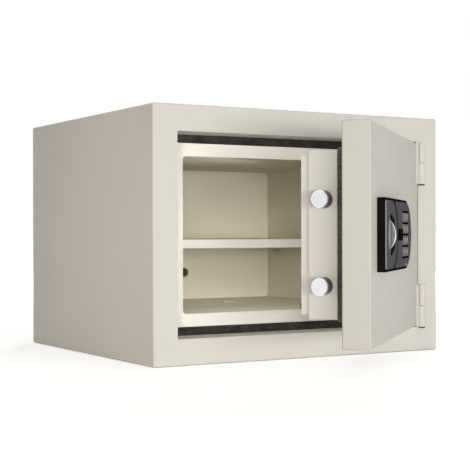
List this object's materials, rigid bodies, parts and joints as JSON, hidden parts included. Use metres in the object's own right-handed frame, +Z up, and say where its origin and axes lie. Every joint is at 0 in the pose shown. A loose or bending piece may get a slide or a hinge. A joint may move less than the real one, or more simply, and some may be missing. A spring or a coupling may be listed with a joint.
{
  "type": "electronic safe",
  "caption": "Fire-resistant steel safe with a hinged insulated door, round bolts, a turning knob and a keypad, and a lift-out shelf inside.",
  "frame": {"origin": "centre of the cabinet's underside", "axes": "+X to the right seen from the front, +Y to the back of the cabinet, +Z up; the door opens towards -Y"},
  "size_m": [0.412, 0.6139, 0.3],
  "materials": {
    "cream_paint": "fine eggshell powder coat",
    "liner_paint": "smooth satin paint",
    "fire_filler": "dry cast mineral filling",
    "seal_foam": "dark flat gasket",
    "seal_braid": "braided heat seal",
    "zinc_steel": "zinc-plated",
    "polished_steel": "polished plate",
    "satin_chrome": "satin plate",
    "black_plastic": "fine-grained moulding",
    "slate_plastic": "fine-grained moulding",
    "key_plastic": "satin moulding",
    "mat_rubber": "silicone sheet",
    "board": "lacquered board",
    "coil": "varnished winding",
    "gear_brass": "machined",
    "cell_wrap": "plain sleeve",
    "clear_lens": "moulded lens"
  },
  "bodies": {
    "cabinet": {"outer_shell": "cream_paint", "back_panel": "cream_paint", "door_frame": "cream_paint", "cabinet_insulation": "fire_filler", "inner_liner": "liner_paint", "frame_seal": "seal_foam", "strike_channel": "zinc_steel", "shelf_pegs": "zinc_steel", "anchor_sleeves": "zinc_steel", "anchor_grommets": "liner_paint", "upper_frame_hinge": "cream_paint", "lower_frame_hinge": "cream_paint", "hinge_pins": "zinc_steel"},
    "shelf": {"shelf": "liner_paint"},
    "door": {"door_outer_pan": "cream_paint", "door_insulation": "fire_filler", "door_plug_pan": "cream_paint", "door_seal": "seal_braid", "inner_cover": "cream_paint", "cover_screws": "zinc_steel", "upper_door_hinge": "cream_paint", "lower_door_hinge": "cream_paint", "mechanism_plate": "zinc_steel", "bolt_guides": "zinc_steel", "carriage_studs": "zinc_steel", "spindle_tube": "zinc_steel", "solenoid": "coil", "battery_box": "black_plastic", "batteries": "cell_wrap", "lock_housing": "black_plastic", "knob_fascia": "slate_plastic", "keypad_fascia": "slate_plastic", "keypad_bezel": "black_plastic", "circuit_board": "board", "keypad_mat": "mat_rubber", "override_cap": "black_plastic", "status_light": "clear_lens", "lock_cable": "black_plastic"},
    "boltwork": {"bolt_carriage": "zinc_steel", "upper_bolt": "polished_steel", "lower_bolt": "polished_steel", "bolt_screws": "zinc_steel"},
    "knob": {"knob": "satin_chrome", "knob_spindle": "zinc_steel", "pinion": "gear_brass"},
    "plunger": {"solenoid_plunger": "polished_steel"},
    "battery_lid": {"battery_lid": "cream_paint"},
    "key_1": {"key_1": "key_plastic"},
    "key_2": {"key_2": "key_plastic"},
    "key_3": {"key_3": "key_plastic"},
    "key_4": {"key_4": "key_plastic"},
    "key_5": {"key_5": "key_plastic"},
    "key_6": {"key_6": "key_plastic"},
    "key_7": {"key_7": "key_plastic"},
    "key_8": {"key_8": "key_plastic"},
    "key_9": {"key_9": "key_plastic"},
    "key_clear": {"key_clear": "key_plastic"},
    "key_0": {"key_0": "key_plastic"},
    "key_enter": {"key_enter": "key_plastic"}
  },
  "joints": [
    {"name": "door_hinge", "type": "hinge", "parent": "cabinet", "child": "door", "pos_m": [0.177, -0.1923, 0], "axis": [0, 0, 1], "range_deg": [-43, 127]},
    {"name": "bolt_slide", "type": "slide", "parent": "door", "child": "boltwork", "axis": [-0.7314, -0.682, 0], "range_m": [-0.02199, 0]},
    {"name": "knob_turn", "type": "hinge", "parent": "door", "child": "knob", "pos_m": [-0.02048, -0.38302, 0.15], "axis": [-0.682, 0.7314, 0], "range_deg": [0, 90]},
    {"name": "plunger_slide", "type": "slide", "parent": "door", "child": "plunger", "axis": [-0.682, 0.7314, 0], "range_m": [0, 0.005]},
    {"name": "battery_lid_slide", "type": "slide", "parent": "door", "child": "battery_lid", "axis": [0, 0, -1], "range_m": [0, 0.02]},
    {"name": "shelf_slide", "type": "slide", "parent": "cabinet", "child": "shelf", "axis": [0, -1, 0], "range_m": [0, 0.04]},
    {"name": "key_1_press", "type": "slide", "parent": "door", "child": "key_1", "axis": [-0.682, 0.7314, 0], "range_m": [0, 0.0008], "stiffness_N_per_m": 500, "springref_m": -0.001},
    {"name": "key_2_press", "type": "slide", "parent": "door", "child": "key_2", "axis": [-0.682, 0.7314, 0], "range_m": [0, 0.0008], "stiffness_N_per_m": 500, "springref_m": -0.001},
    {"name": "key_3_press", "type": "slide", "parent": "door", "child": "key_3", "axis": [-0.682, 0.7314, 0], "range_m": [0, 0.0008], "stiffness_N_per_m": 500, "springref_m": -0.001},
    {"name": "key_4_press", "type": "slide", "parent": "door", "child": "key_4", "axis": [-0.682, 0.7314, 0], "range_m": [0, 0.0008], "stiffness_N_per_m": 500, "springref_m": -0.001},
    {"name": "key_5_press", "type": "slide", "parent": "door", "child": "key_5", "axis": [-0.682, 0.7314, 0], "range_m": [0, 0.0008], "stiffness_N_per_m": 500, "springref_m": -0.001},
    {"name": "key_6_press", "type": "slide", "parent": "door", "child": "key_6", "axis": [-0.682, 0.7314, 0], "range_m": [0, 0.0008], "stiffness_N_per_m": 500, "springref_m": -0.001},
    {"name": "key_7_press", "type": "slide", "parent": "door", "child": "key_7", "axis": [-0.682, 0.7314, 0], "range_m": [0, 0.0008], "stiffness_N_per_m": 500, "springref_m": -0.001},
    {"name": "key_8_press", "type": "slide", "parent": "door", "child": "key_8", "axis": [-0.682, 0.7314, 0], "range_m": [0, 0.0008], "stiffness_N_per_m": 500, "springref_m": -0.001},
    {"name": "key_9_press", "type": "slide", "parent": "door", "child": "key_9", "axis": [-0.682, 0.7314, 0], "range_m": [0, 0.0008], "stiffness_N_per_m": 500, "springref_m": -0.001},
    {"name": "key_clear_press", "type": "slide", "parent": "door", "child": "key_clear", "axis": [-0.682, 0.7314, 0], "range_m": [0, 0.0008], "stiffness_N_per_m": 500, "springref_m": -0.001},
    {"name": "key_0_press", "type": "slide", "parent": "door", "child": "key_0", "axis": [-0.682, 0.7314, 0], "range_m": [0, 0.0008], "stiffness_N_per_m": 500, "springref_m": -0.001},
    {"name": "key_enter_press", "type": "slide", "parent": "door", "child": "key_enter", "axis": [-0.682, 0.7314, 0], "range_m": [0, 0.0008], "stiffness_N_per_m": 500, "springref_m": -0.001}
  ],
  "couplings": [
    {"joint": "knob_turn", "follows": "bolt_slide", "rad_per_m": -71.429}
  ]
}
